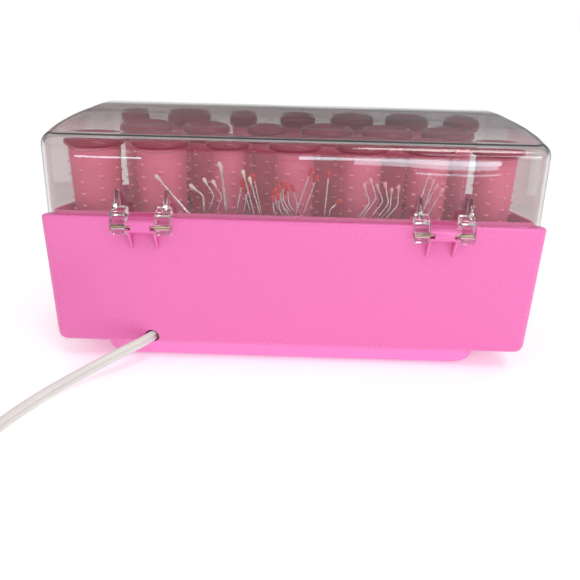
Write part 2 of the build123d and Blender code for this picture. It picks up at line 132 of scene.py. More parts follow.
def surface(
    name, color, rough=(0.28, 0.4), grain=1100.0, grain_depth=0.00004, vary=0.06, patch=22.0,
    metallic=0.0, coat=0.0, coat_rough=0.1, specular=0.5, subsurface=0.0, wear=0.12,
    worn=None, scratch=0.1, stretch=(6.0, 260.0, 60.0),
):
    """Moulded plastic or metal: patchy colour, fine grain, faint scratches and paler worn edges."""
    m, nt, b = tree_of(name)
    at = nt.nodes.new("ShaderNodeTexCoord").outputs["Object"]
    broad = noise(nt, at, patch, 4.0)
    col = mixed(nt, ranged(nt, broad, 0.0, 1.0), shade(color, 1 - vary), shade(color, 1 + vary))
    fine = noise(nt, at, grain * 0.35, 2.0)
    col = mixed(nt, ranged(nt, fine, 0.0, 0.35, 0.55, 0.8), col, shade(color, 1 - 1.3 * vary))
    geo = nt.nodes.new("ShaderNodeNewGeometry")
    edge = ranged(nt, geo.outputs["Pointiness"], 0.0, wear, 0.53, 0.62)
    col = mixed(nt, edge, col, worn or shade(color, 1.35))
    nt.links.new(col, b.inputs["Base Color"])
    lines = noise(nt, at, 1.0, 2.0, 0.6, stretch)
    marks = ranged(nt, lines, 0.0, scratch, 0.62, 0.72)
    base = ranged(nt, noise(nt, at, patch * 3.1, 5.0, 0.6), rough[0], rough[1])
    nt.links.new(summed(nt, base, marks), b.inputs["Roughness"])
    bump = node(nt, "ShaderNodeBump", Strength=0.6, Distance=grain_depth)
    nt.links.new(noise(nt, at, grain, 2.0), bump.inputs["Height"])
    nt.links.new(bump.outputs["Normal"], b.inputs["Normal"])
    b.inputs["Metallic"].default_value = metallic
    b.inputs["Specular IOR Level"].default_value = specular
    b.inputs["Coat Weight"].default_value = coat
    b.inputs["Coat Roughness"].default_value = coat_rough
    if subsurface:
        b.inputs["Subsurface Weight"].default_value = subsurface
        b.inputs["Subsurface Radius"].default_value = (0.004, 0.0015, 0.002)
        b.inputs["Subsurface Scale"].default_value = 1.0
    return m


def clear(name, tint, rough=(0.004, 0.05), ripple=0.0005):
    """Clear moulded styrene: slight flow ripples, smudges and hairline scratches; lamps shine through."""
    m, nt, b = tree_of(name)
    at = nt.nodes.new("ShaderNodeTexCoord").outputs["Object"]
    b.inputs["Base Color"].default_value = (*tint, 1.0)
    b.inputs["Transmission Weight"].default_value = 1.0
    b.inputs["IOR"].default_value = 1.49
    smudge = ranged(nt, noise(nt, at, 26.0, 5.0, 0.65), rough[0], rough[1], 0.48, 0.78)
    hair = ranged(nt, noise(nt, at, 1.0, 2.0, 0.6, (14.0, 420.0, 90.0)), 0.0, 0.05, 0.66, 0.72)
    nt.links.new(summed(nt, smudge, hair), b.inputs["Roughness"])
    flow = node(nt, "ShaderNodeBump", Strength=0.5, Distance=ripple)
    nt.links.new(noise(nt, at, 1.0, 1.0, 0.4, (9.0, 26.0, 20.0)), flow.inputs["Height"])
    nt.links.new(flow.outputs["Normal"], b.inputs["Normal"])
    through = nt.nodes.new("ShaderNodeBsdfTransparent")
    through.inputs["Color"].default_value = (*shade(tint, 1.3), 1.0)
    path = nt.nodes.new("ShaderNodeLightPath")
    either = summed(nt, path.outputs["Is Shadow Ray"], path.outputs["Is Diffuse Ray"], "MAXIMUM")
    mix = nt.nodes.new("ShaderNodeMixShader")
    nt.links.new(either, mix.inputs[0])
    nt.links.new(b.outputs[0], mix.inputs[1])
    nt.links.new(through.outputs[0], mix.inputs[2])
    nt.links.new(mix.outputs[0], nt.nodes["Material Output"].inputs["Surface"])
    return m


PINK = (0.80, 0.165, 0.45)
M = {
    "pink": surface("pink_plastic", PINK, (0.265, 0.285), vary=0.006, patch=7.0, specular=0.45,
                    grain_depth=0.000005, wear=0.06, worn=(0.95, 0.34, 0.6), scratch=0.012),
    # painted light: a paler, glossier copy of the pink, so the plinth, shaded under the tub's overhang, shows as
    # bright as the lit wall
    "plinth_painted_light": surface("plinth_painted_light_plastic", (0.93, 0.25, 0.63), (0.2, 0.24), vary=0.006, patch=7.0, specular=0.6,
                      grain_depth=0.000005, wear=0.06, worn=(0.95, 0.4, 0.7), scratch=0.012),
    "barrel": surface("roller_pink", (0.80, 0.178, 0.31), (0.42, 0.56), vary=0.05, patch=40.0,
                      grain=1800.0, specular=0.4, wear=0.3, worn=(0.66, 0.3, 0.4)),
    # painted highlight: a lighter copy of the roller pink for the nubs, standing in for the light their tops catch
    "nub": surface("roller_nub_painted_highlight", (0.92, 0.34, 0.50), (0.28, 0.4), vary=0.05, patch=60.0, grain=1800.0,
                   specular=0.55, wear=0.0),
    "cap": surface("cap_crimson", (0.33, 0.010, 0.058), (0.12, 0.24), vary=0.1, patch=30.0,
                   specular=0.55, coat=0.5, coat_rough=0.06, wear=0.15, worn=(0.5, 0.05, 0.14)),
    "deck": surface("deck_plastic", (0.42, 0.07, 0.17), (0.4, 0.55), vary=0.06, patch=18.0),
    "steel": surface("pin_wire", (0.8, 0.79, 0.77), (0.2, 0.36), vary=0.12, patch=160.0, metallic=1.0,
                     wear=0.1, scratch=0.2),
    "hinge_steel": surface("screw_steel", (0.6, 0.5, 0.36), (0.28, 0.42), vary=0.12, patch=220.0,
                           metallic=1.0, wear=0.1, scratch=0.2),
    "aluminium": surface("aluminium", (0.78, 0.78, 0.79), (0.3, 0.45), vary=0.06, patch=60.0,
                         metallic=1.0, scratch=0.2),
    "element": surface("element_steel", (0.36, 0.33, 0.31), (0.38, 0.55), vary=0.15, patch=90.0,
                       metallic=1.0),
    "thermostat": surface("thermostat_body", (0.05, 0.045, 0.045), (0.4, 0.55), vary=0.1),
    "black": surface("black_plastic", (0.03, 0.03, 0.032), (0.42, 0.55), vary=0.1),
    "rubber": surface("black_rubber", (0.022, 0.022, 0.024), (0.7, 0.85), vary=0.15, grain=2400.0,
                      grain_depth=0.00008),
    "sleeve": surface("wire_sleeve", (0.8, 0.78, 0.7), (0.5, 0.62), vary=0.06, grain=3000.0,
                      grain_depth=0.00008),
    "lens": surface("lens_red", (0.75, 0.03, 0.02), (0.08, 0.15), vary=0.05, coat=0.6, specular=0.6),
    "lead": surface("lead_sheath", (0.70, 0.69, 0.64), (0.34, 0.46), vary=0.05, patch=26.0,
                    grain=1600.0, specular=0.45, worn=(0.9, 0.89, 0.85), scratch=0.1),
    "blade": surface("plug_blade", (0.78, 0.66, 0.4), (0.2, 0.34), vary=0.08, patch=200.0,
                     metallic=1.0, scratch=0.25),
    "bead_cream": surface("bead_cream", (0.86, 0.78, 0.66), (0.14, 0.24), vary=0.06, patch=240.0,
                          coat=0.4, wear=0.05),
    "bead_red": surface("bead_red", (0.66, 0.010, 0.035), (0.2, 0.3), vary=0.08, patch=240.0,
                        coat=0.2, wear=0.05),
    "bead_pink": surface("bead_pink", (0.85, 0.42, 0.46), (0.14, 0.24), vary=0.06, patch=240.0,
                         coat=0.4, wear=0.05),
    "clear": clear("clear_plastic", (0.735, 0.69, 0.685)),
}


# ---- mesh helpers -------------------------------------------------------------------------------
def made(name, verts, faces, material, angle=32.0, scale=MM):
    me = bpy.data.meshes.new(name)
    me.from_pydata([tuple(Vector(v) * scale) for v in verts], [], faces)
    bm = bmesh.new()
    bm.from_mesh(me)
    bmesh.ops.remove_doubles(bm, verts=bm.verts, dist=1e-7)
    bmesh.ops.recalc_face_normals(bm, faces=bm.faces)
    bm.to_mesh(me)
    bm.free()
    o = bpy.data.objects.new(name, me)
    scene.collection.objects.link(o)
    finish_mesh(o, angle)
    me.materials.append(material)
    return o


def finish_mesh(o, angle=32.0):
    me = o.data
    me.polygons.foreach_set("use_smooth", [True] * len(me.polygons))
    me.set_sharp_from_angle(angle=math.radians(angle))
    me.update()


def applied(o, *modifiers, angle=32.0):
    """Applies modifiers, given as (kind, settings), to the mesh."""
    for kind, settings in modifiers:
        mod = o.modifiers.new(kind.lower(), kind)
        for key, value in settings.items():
            setattr(mod, key, value)
    bpy.context.view_layer.update()
    done = bpy.data.meshes.new_from_object(o.evaluated_get(bpy.context.evaluated_depsgraph_get()))
    o.modifiers.clear()
    old = o.data
    o.data = done
    done.name = o.name
    bpy.data.meshes.remove(old)
    finish_mesh(o, angle)
    return o


def cut(o, cutters, how="DIFFERENCE"):
    for c in cutters:
        applied(o, ("BOOLEAN", {"object": c, "operation": how, "solver": "EXACT"}))
        bpy.data.objects.remove(c)
    return o


def bevelled(o, width, segments=3, angle=32.0):
    return applied(
        o, ("BEVEL", {"width": width * MM, "segments": segments, "limit_method": "ANGLE",
                      "angle_limit": math.radians(angle), "harden_normals": False})
    )


def piece(o, body, slot, *nodes):
    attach(o, body)
    if nodes:
        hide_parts(*nodes)
    return o


def joined(name, parts):
    """One object from several meshes that share a material."""
    bm = bmesh.new()
    for p in parts:
        bm.from_mesh(p.data)
    me = bpy.data.meshes.new(name)
    bm.to_mesh(me)
    bm.free()
    me.materials.append(parts[0].data.materials[0])
    o = bpy.data.objects.new(name, me)
    scene.collection.objects.link(o)
    for p in parts:
        bpy.data.objects.remove(p)
    finish_mesh(o)
    return o


def lofted(name, loops, material, ends="caps", angle=32.0):
    """Skins a list of closed loops; ends is 'caps', 'loop' (last joins first) or 'open'."""
    n = len(loops[0])
    verts = [p for loop in loops for p in loop]
    faces = []
    pairs = list(zip(range(len(loops)), range(1, len(loops))))
    if ends == "loop":
        pairs.append((len(loops) - 1, 0))
    for a, b in pairs:
        for i in range(n):
            j = (i + 1) % n
            faces.append((a * n + i, a * n + j, b * n + j, b * n + i))
    if ends == "caps":
        faces.append(tuple(range(n)))
        faces.append(tuple((len(loops) - 1) * n + i for i in range(n)))
    return made(name, verts, faces, material, angle)


def prism(name, outline, x0, x1, material):
    """Outline in (y, z), drawn out along X."""
    n = len(outline)
    verts = [(x, y, z) for x in (x0, x1) for y, z in outline]
    faces = [tuple(range(n)), tuple(range(n, 2 * n))]
    faces += [(i, (i + 1) % n, n + (i + 1) % n, n + i) for i in range(n)]
    return made(name, verts, faces, material)


def rod(name, x0, x1, y, z, r, material, sides=32):
    ring_yz = [(y + r * math.cos(2 * math.pi * i / sides), z + r * math.sin(2 * math.pi * i / sides))
               for i in range(sides)]
    return prism(name, ring_yz, x0, x1, material)


def turned(name, profile, sides, material, angle=32.0, centre=(0, 0)):
    """Revolves an (r, z) profile about a vertical axis; r = 0 closes it."""
    verts, rows = [], []
    for r, z in profile:
        if r < 1e-6:
            rows.append([len(verts)] * sides)
            verts.append((centre[0], centre[1], z))
        else:
            rows.append(list(range(len(verts), len(verts) + sides)))
            verts += [(centre[0] + r * math.cos(2 * math.pi * i / sides),
                       centre[1] + r * math.sin(2 * math.pi * i / sides), z) for i in range(sides)]
    faces = []
    for a, b in zip(rows, rows[1:]):
        for i in range(sides):
            j = (i + 1) % sides
            quad = []
            for v in (a[i], a[j], b[j], b[i]):
                if v not in quad:
                    quad.append(v)
            if len(quad) > 2:
                faces.append(tuple(quad))
    return made(name, verts, faces, material, angle)


def arc(cx, cz, r, a0, a1, steps):
    return [(cx + r * math.cos(math.radians(a0 + (a1 - a0) * k / steps)),
             cz + r * math.sin(math.radians(a0 + (a1 - a0) * k / steps))) for k in range(steps + 1)]


# ---- mains lead: the route's points, then the turns of its coil, on one smooth spline ------------
ROUTE = [
    (-92.6, -76.05, 22.2),
    (-99.4, -95.0, 22.0),
    (-117.5, -110.5, 17.5),
    (-141.5, -126.5, 8.6),
    (-160.0, -150.5, 5.2),
    (-173.0, -182.0, 4.7),
    (-180.7, -213.0, 4.7),
    (-199.1, -239.3, 4.7),
    (-228.3, -252.3, 4.7),
]
COIL = (-250.0, -195.0)
LEAD_W, LEAD_T = 8.8, 4.2
PLUG_TURN = math.radians(15.0)
PLUG_Z = 18.8 + 7.5


def on_coil(degrees, r, z):
    a = math.radians(degrees)
    return (COIL[0] + r * math.cos(a) / 0.966, COIL[1] + r * math.sin(a) / 0.966, z)


turns = []
for k in range(0, 64):
    if k <= 31:
        r, z = 50.0 - 5.2 * k / 12, 4.7
    elif k <= 37:
        s = (k - 31) / 6
        r, z = 36.6 - 0.6 * s, 4.7 + 9.2 * (3 * s * s - 2 * s**3)
    else:
        r, z = 36.0 + 5.2 * (k - 37) / 12, 13.9
    if k == 0:
        r = 51.0
    turns.append(on_coil(-104 - 30 * k, r, z))
tail = [
    on_coil(166 - 30 * 1, 46.4, 14.8),
    on_coil(166 - 30 * 2, 46.4, 17.6),
    on_coil(166 - 30 * 3, 46.2, 22.0),
    (COIL[0] + 45 * math.cos(PLUG_TURN) - 14 * math.sin(PLUG_TURN),
     COIL[1] + 45 * math.sin(PLUG_TURN) + 14 * math.cos(PLUG_TURN), 25.6),
    (COIL[0] + 45 * math.cos(PLUG_TURN) + 3 * math.sin(PLUG_TURN),
     COIL[1] + 45 * math.sin(PLUG_TURN) - 3 * math.cos(PLUG_TURN), PLUG_Z),
]
route = ROUTE + turns + tail

line_data = bpy.data.curves.new("lead_line", "CURVE")
line_data.dimensions = "3D"
line_data.resolution_u = 10
spline = line_data.splines.new("NURBS")
spline.points.add(len(route) - 1)
for point, co in zip(spline.points, route):
    point.co = (co[0] * MM, co[1] * MM, co[2] * MM, 1.0)
spline.order_u = 3
spline.use_endpoint_u = True
line_object = bpy.data.objects.new("lead_line", line_data)
scene.collection.objects.link(line_object)
bpy.context.view_layer.update()
line_mesh = bpy.data.meshes.new_from_object(line_object)
path = [v.co.copy() for v in line_mesh.vertices]
bpy.data.objects.remove(line_object)
bpy.data.meshes.remove(line_mesh)
if (path[0] - Vector(route[0]) * MM).length > (path[-1] - Vector(route[0]) * MM).length:
    path.reverse()

along = [0.0]
for a, b in zip(path, path[1:]):
    along.append(along[-1] + (b - a).length)
LEAD_LENGTH = along[-1]


def lead_section(width, thick, web):
    """Two round cores side by side with a web between them; points as (across, up)."""
    r = thick / 2
    c = width / 2 - r
    out = [(c + r * math.cos(math.radians(a)), r * math.sin(math.radians(a))) for a in range(-75, 76, 15)]
    xs = [c * f for f in (0.8, 0.6, 0.4, 0.22, 0.1, 0.0, -0.1, -0.22, -0.4, -0.6, -0.8)]
    top = [(x, max(math.sqrt(max(r * r - (abs(x) - c) ** 2, 0.0)), web)) for x in xs]
    left = [(-c - r * math.cos(math.radians(a)), r * math.sin(math.radians(a))) for a in range(75, -76, -15)]
    bottom = [(-x, -y) for x, y in top]
    return out + top + left + bottom


SECTION = lead_section(LEAD_W, LEAD_T, 0.95)


def roll_at(s):
    """How far the lead's wide side stands up from level, in radians, at a distance along it."""
    stops = [(0.0, 100), (0.03, 102), (0.14, 100), (0.22, 96), (0.28, 90),
             (LEAD_LENGTH - 0.15, 90), (LEAD_LENGTH - 0.02, 0), (LEAD_LENGTH + 1, 0)]
    for (s0, a0), (s1, a1) in zip(stops, stops[1:]):
        if s <= s1:
            f = (s - s0) / (s1 - s0)
            f = f * f * (3 - 2 * f)
            return math.radians(a0 + (a1 - a0) * f)
    return 0.0


def frames(points, lengths):
    out = []
    for i, p in enumerate(points):
        t = (points[min(i + 1, len(points) - 1)] - points[max(i - 1, 0)]).normalized()
        side = t.cross(Vector((0, 0, 1))).normalized()
        up = side.cross(t).normalized()
        a = roll_at(lengths[i])
        out.append((p, side * math.cos(a) + up * math.sin(a), up * math.cos(a) - side * math.sin(a)))
    return out


lead_frames = frames(path, along)
loops = [[(p + w * (u * MM) + h * (v * MM)) / MM for u, v in SECTION] for p, w, h in lead_frames]
lead = lofted("mains_lead", loops, M["lead"], "caps", angle=60)

# tapered strain relief behind the plug, with soft ribs
relief = []
reach = 0.026
for i, ((p, w, h), s) in enumerate(zip(lead_frames, along)):
    from_end = LEAD_LENGTH - s
    if from_end > reach:
        continue
    relief.append((p, w, h, 1 - from_end / reach))
steps = []
for f in range(0, 53):
    goal = f / 52
    i = min(range(len(relief)), key=lambda q: abs(relief[q][3] - goal))
    j = min(i + 1, len(relief) - 1) if relief[i][3] <= goal else max(i - 1, 0)
    fa, fb = relief[i][3], relief[j][3]
    t = 0.0 if abs(fb - fa) < 1e-9 else (goal - fa) / (fb - fa)
    p = relief[i][0].lerp(relief[j][0], t)
    rib = 0.35 * math.sin(goal * math.pi * 12) * (1 if 0.08 < goal < 0.86 else 0)
    half_w, half_h = 5.0 + 1.9 * goal + rib, 2.9 + 2.1 * goal + rib
    ring_pts = []
    for a in range(0, 360, 12):
        c, sn = math.cos(math.radians(a)), math.sin(math.radians(a))
        ring_pts.append((p + relief[i][1] * (half_w * abs(c) ** 0.8 * (1 if c >= 0 else -1) * MM)
                         + relief[i][2] * (half_h * abs(sn) ** 0.8 * (1 if sn >= 0 else -1) * MM)) / MM)
    steps.append(ring_pts)
lead_relief = lofted("lead_relief", steps, M["lead"], "caps", angle=60)

# plug: a moulded two-blade body lying on the coil
plug_x = Vector((math.cos(PLUG_TURN), math.sin(PLUG_TURN), 0))
plug_y = Vector((math.sin(PLUG_TURN), -math.cos(PLUG_TURN), 0))
plug_at = Vector((COIL[0], COIL[1], PLUG_Z)) + plug_x * 45.0
body_loops = []
stations = [(0.0, 6.6, 4.8), (0.5, 7.4, 5.5), (1.4, 8.0, 5.9), (4, 8.3, 6.1), (8, 8.7, 6.4), (12, 9.4, 6.8),
            (15, 10.2, 7.0), (18, 11.0, 7.3), (21, 11.6, 7.45), (24, 11.95, 7.5), (29.5, 12.0, 7.5),
            (31.2, 11.7, 7.2), (31.9, 11.1, 6.6), (32.0, 10.3, 5.8)]
fine = []
for (s0, w0, h0), (s1, w1, h1) in zip(stations, stations[1:]):
    for q in range(4):
        f = q / 4
        fine.append((s0 + (s1 - s0) * f, w0 + (w1 - w0) * f, h0 + (h1 - h0) * f))
fine.append(stations[-1])
for s, w, h in fine:
    groove = 0.45 * max(0.0, math.cos((s - 6) / 3.2 * 2 * math.pi)) if 5.2 < s < 19.6 else 0.0
    ring_pts = []
    for a in range(0, 360, 9):
        c, sn = math.cos(math.radians(a)), math.sin(math.radians(a))
        x = (w - groove) * abs(c) ** 0.55 * (1 if c >= 0 else -1)
        z = (h - 0.4 * groove) * abs(sn) ** 0.55 * (1 if sn >= 0 else -1)
        ring_pts.append(plug_at + plug_y * s + plug_x * x + Vector((0, 0, z)))
    body_loops.append(ring_pts)
plug = lofted("plug_body", body_loops, M["lead"], "caps", angle=50)
blades = []
for side in (-6.35, 6.35):
    outline = [(31.0, -3.17), (47.0, -3.17), (49.0, -1.4), (49.0, 1.4), (47.0, 3.17), (31.0, 3.17)]
    verts = [plug_at + plug_y * s + plug_x * (side + t) + Vector((0, 0, z))
             for t in (-0.75, 0.75) for s, z in outline]
    n = len(outline)
    blade = made("blade", verts, [tuple(range(n)), tuple(range(n, 2 * n))]
                 + [(i, (i + 1) % n, n + (i + 1) % n, n + i) for i in range(n)], M["blade"])
    hole_at = plug_at + plug_y * 44.5 + plug_x * side
    ring_pts = [[hole_at + plug_x * t + plug_y * (1.5 * math.cos(a)) + Vector((0, 0, 1.5 * math.sin(a)))
                 for a in [2 * math.pi * i / 20 for i in range(20)]] for t in (-2, 2)]
    cut(blade, [lofted("drill", ring_pts, M["blade"])])
    blades.append(bevelled(blade, 0.18, 2))
plug_blades = joined("plug_blades", blades)

piece(lead, "base", "lead_sheath", "power_cord", "cord_coil")
piece(lead_relief, "base", "lead_sheath")
piece(plug, "base", "lead_sheath", "plug")
piece(plug_blades, "base", "screw_steel")
print("lead length", round(LEAD_LENGTH, 3))

# ---- shared forms -------------------------------------------------------------------------------
W, D = 340.0, 190.0
Z_TUB, Z_REAR, Z_FRONT, TUB_DRAFT = 16.0, 111.0, 85.0, 0.019
LID_INSET, LID_DRAFT, LID_WALL = 2.9, 0.008, 2.2
HINGE_X, HINGE_Y, HINGE_Z = 99.5, -101.2, 106.5
ROOF = [(-100, 160.4), (-84, 163.8), (-62, 167.0), (-30, 168.7), (20, 169.0), (62, 167.7), (84, 164.4),
        (100, 160.4)]


def roof(y):
    """Smooth height of the lid's roof across the set."""
    pts = [(-116, 155.6)] + ROOF + [(116, 155.6)]
    for i in range(1, len(pts) - 2):
        if y <= pts[i + 1][0] or i == len(pts) - 3:
            (ya, za), (yb, zb), (yc, zc), (yd, zd) = pts[i - 1], pts[i], pts[i + 1], pts[i + 2]
            h = yc - yb
            t = (y - yb) / h
            mb, mc = (zc - za) / (yc - ya) * h, (zd - zb) / (yd - yb) * h
            z = ((2 * t**3 - 3 * t**2 + 1) * zb + (t**3 - 2 * t**2 + t) * mb
                 + (-2 * t**3 + 3 * t**2) * zc + (t**3 - t**2) * mc)
            return min(z, 168.97)


def rim(y):
    return Z_REAR + (Z_FRONT - Z_REAR) * (y + D / 2) / D


def ring(hx, hy, r, corner=8, nx=10, ny=26):
    cx, cy = hx - r, hy - r
    pts = []
    for sx, sy, a0 in ((1, 1, 0), (-1, 1, 90), (-1, -1, 180), (1, -1, 270)):
        for k in range(corner + 1):
            a = math.radians(a0 + 90 * k / corner)
            pts.append((sx * cx + r * math.cos(a), sy * cy + r * math.sin(a)))
        n = nx if a0 in (0, 180) else ny
        x0, y0 = pts[-1]
        if a0 == 0:
            x1, y1 = -cx, hy
        elif a0 == 90:
            x1, y1 = -hx, -cy
        elif a0 == 180:
            x1, y1 = cx, -hy
        else:
            x1, y1 = hx, cy
        pts += [(x0 + (x1 - x0) * k / n, y0 + (y1 - y0) * k / n) for k in range(1, n)]
    return pts


def wall_loop(inset, height, r, lean):
    """A rounded loop drawn in by inset plus the wall's lean at each point's own height."""
    a = ring(W / 2 - inset, D / 2 - inset, r)
    b = ring(W / 2 - inset - 1, D / 2 - inset - 1, r)
    out = []
    for (xa, ya), (xb, yb) in zip(a, b):
        z = height(ya)
        k = lean(z)
        x, y = xa + (xb - xa) * k, ya + (yb - ya) * k
        out.append((x, y, height(y)))
    return out


tub_lean = lambda z: (Z_REAR - z) * TUB_DRAFT
lid_lean = lambda z: LID_INSET + (z - Z_REAR) * LID_DRAFT


def tub(inset, height, r):
    if not callable(height):
        level = height
        height = lambda y: level
    return wall_loop(inset, height, r, tub_lean)


# ---- tub ----------------------------------------------------------------------------------------
loops = []
for k in range(7):
    a = math.radians(90 * k / 6)
    inset = 6.5 * (1 - math.sin(a))
    loops.append(tub(inset, Z_TUB + 6.5 * (1 - math.cos(a)), max(7 - inset, 0.5)))
for z in (40.0, 62.0, 80.0):
    loops.append(tub(0, z, 7))
ROUND = 2.4
for k in range(7):
    a = math.radians(90 * k / 6)
    inset = ROUND * (1 - math.cos(a))
    loops.append(tub(inset, lambda y, d=ROUND * (1 - math.sin(a)): rim(y) - d, 7 - inset))
for inset, lift, r in (
    (3.4, 0, 3.9), (6.1, 0, 7.9), (6.5, 0.1, 7.65), (6.6, 0.5, 7.6), (6.6, 2.4, 7.6), (6.75, 2.85, 7.4),
    (7.1, 3.0, 7.1), (7.9, 3.0, 6.1), (8.25, 2.85, 5.75), (8.4, 2.4, 5.6), (8.4, -2.8, 5.6), (8.0, -3.2, 5.8),
    (3.2, -3.2, 4.6), (2.6, -3.8, 4.4),
):
    loops.append(tub(inset, lambda y, d=lift: rim(y) + d, r))
loops.append(tub(2.6, 60.0, 4.4))
for k in range(5):
    a = math.radians(90 * k / 4)
    inset = 2.6 + 4.2 * (1 - math.cos(a))
    loops.append(tub(inset, 18.6 + 4.2 * (1 - math.sin(a)), max(4.4 - 4.2 * (1 - math.cos(a)), 0.4)))
for z in (18.6, 16.0):
    loops.append([(x, y, z) for x, y in ring(123, 61, 10)])
tub_shell = lofted("tub_shell", loops, M["pink"], "loop")
drill = [[(-99.0 + 5.2 * math.cos(a), y, 22.2 + 5.2 * math.sin(a)) for a in
          [2 * math.pi * i / 48 for i in range(48)]] for y in (-104, -84)]
cut(tub_shell, [lofted("drill", drill, M["pink"])])
piece(tub_shell, "base", "pink_plastic", "base_shell")

# hinge barrels on the tub, slotted at their ends, over webs and gussets
barrels = []
for side in (-1, 1):
    mid = side * HINGE_X
    outline = arc(HINGE_Y, HINGE_Z, 4.25, 90, 270, 20) + [(-94.4, HINGE_Z - 4.25), (-94.4, HINGE_Z + 4.25)]
    barrel = prism("barrel", outline, mid - 9.5, mid + 9.5, M["pink"])
    cutters = [rod("bore", mid - 12, mid + 12, HINGE_Y, HINGE_Z, 1.6, M["pink"])]
    for end in (-1, 1):
        x = mid + end * 8.0
        cutters.append(prism("slot", [(-107, HINGE_Z - 1.7), (-100.2, HINGE_Z - 1.7), (-100.2, HINGE_Z + 1.7),
                                      (-107, HINGE_Z + 1.7)], x - 1.65, x + 1.65, M["pink"]))
    barrels.append(bevelled(cut(barrel, cutters), 0.4, 3))
    for rib in (-8.7, 8.7):
        gusset = prism("gusset", [(HINGE_Y - 2.2, HINGE_Z - 3.2), (-94.4, HINGE_Z - 3.2), (-94.6, 89.6),
                                  (-95.4, 89.6)], mid + rib - 0.8, mid + rib + 0.8, M["pink"])
        barrels.append(bevelled(gusset, 0.25, 2))
piece(joined("hinge_barrels", barrels), "base", "pink_plastic")

rods = []
for side in (-1, 1):
    x0, x1 = side * HINGE_X - 19.0, side * HINGE_X + 19.0
    rods.append(bevelled(rod("rod", x0, x1, HINGE_Y, HINGE_Z, 1.5, M["hinge_steel"], 24), 0.35, 2))
piece(joined("hinge_rods", rods), "base", "screw_steel", "hinge_pins")

# ---- lid ----------------------------------------------------------------------------------------
def lid_loops(extra, corner, top):
    """Loops up the wall, round the top edge and over the roof, drawn in by extra."""
    out = []
    for lift in (0.3, 12.0, 26.0):
        out.append(wall_loop(extra, lambda y, d=lift: rim(y) + d, corner, lid_lean))
    for low in (12.0, 0.8):
        out.append(wall_loop(extra, lambda y, d=low: roof(y) - extra - top - d, corner, lid_lean))
    for k in range(9):
        a = math.radians(90 * k / 8)
        inset = extra + top * (1 - math.cos(a))
        drop = extra + top * (1 - math.sin(a))
        out.append(wall_loop(inset, lambda y, d=drop: roof(y) - d, max(corner - top * (1 - math.cos(a)), 2.0),
                             lid_lean))
    for inset in (11, 15, 20, 27, 36, 46, 56, 66, 76, 84):
        if inset > extra + top + 1:
            out.append(wall_loop(inset, lambda y: roof(y) - extra, 2.0, lid_lean))
    return out


outer, inner = lid_loops(0.0, 10.0, 8.0), lid_loops(LID_WALL, 7.8, 5.8)
n = len(outer[0])
verts, faces = [], []
for loops in (outer, inner):
    start = len(verts)
    verts += [p for loop in loops for p in loop]
    for a in range(len(loops) - 1):
        for i in range(n):
            j = (i + 1) % n
            faces.append((start + a * n + i, start + a * n + j, start + (a + 1) * n + j, start + (a + 1) * n + i))
    faces.append(tuple(start + (len(loops) - 1) * n + i for i in range(n)))
second = len(outer) * n
faces += [(i, (i + 1) % n, second + (i + 1) % n, second + i) for i in range(n)]
lid_shell = made("lid_shell", verts, faces, M["clear"], 38)
piece(lid_shell, "lid", "clear_plastic", "lid")

knuckles = []
for side in (-1, 1):
    for end in (-1, 1):
        mid = side * HINGE_X + end * (9.9 + 19.75) / 2
        outline = arc(HINGE_Y, HINGE_Z, 5.5, 170, 376, 26) + [(-95.4, 111.6), (-92.15, 112.0), (-92.1, 118.4),
                                                              (HINGE_Y - 2.6, 117.4)]
        knuckle = prism("knuckle", outline, mid - 4.925, mid + 4.925, M["clear"])
        cut(knuckle, [rod("bore", mid - 8, mid + 8, HINGE_Y, HINGE_Z, 1.6, M["clear"])])
        knuckles.append(bevelled(knuckle, 0.6, 3))
        rib = mid + end * 1.6
        fin = prism("fin", [(HINGE_Y - 2.4, 117.46), (-92.9, 129.5), (-92.0, 129.5), (-92.1, 118.46)],
                    rib - 1.5, rib + 1.5, M["clear"])
        knuckles.append(bevelled(fin, 0.35, 2))
piece(joined("lid_knuckles", knuckles), "lid", "clear_plastic")

lip = prism("lid_lip", [(92.35, 92.2), (105.9, 90.6), (106.6, 91.2), (106.6, 92.2), (105.9, 92.9), (92.3, 97.6)],
            -34, 34, M["clear"])
piece(bevelled(lip, 0.5, 3), "lid", "clear_plastic")

# ---- rollers ------------------------------------------------------------------------------------
SIZES = {"large": (15.9, 17.4, 20.5, 8), "medium": (12.6, 13.8, 18.4, 8), "small": (10.4, 11.4, 15.2, 6),
         "mini": (8.5, 9.2, 12.0, 6)}
BACK = ["large", "large", "small", "medium", "medium", "medium", "medium"]
MIDDLE = ["large", "medium", "small", "large", "large", "large"]
FRONT = ["mini", "medium", "mini", "small", "medium", "medium", "small"]
ORDER = BACK + MIDDLE + FRONT
BASE_Z, CAP_Z, CAP_T = 88.1, 152.0, 7.0


def nub(x, y, z, a, long, high, proud):
    """A short level ridge standing out of a barrel at angle a."""
    out, faces = [], []
    rows, cols = 5, 10
    radial, tangent = Vector((math.cos(a), math.sin(a), 0)), Vector((-math.sin(a), math.cos(a), 0))
    for i in range(rows + 1):
        t = math.pi / 2 * i / rows
        for j in range(cols):
            p = 2 * math.pi * j / cols
            v = (Vector((x, y, z)) + tangent * (long / 2 * math.cos(t) ** 0.7 * math.cos(p) if i < rows else 0)
                 + Vector((0, 0, high / 2 * math.cos(t) ** 0.7 * math.sin(p) if i < rows else 0))
                 + radial * (proud * math.sin(t) - 0.35))
            out.append(v)
    for i in range(rows):
        for j in range(cols):
            k = (j + 1) % cols
            faces.append((i * cols + j, i * cols + k, (i + 1) * cols + k, (i + 1) * cols + j))
    return out, faces


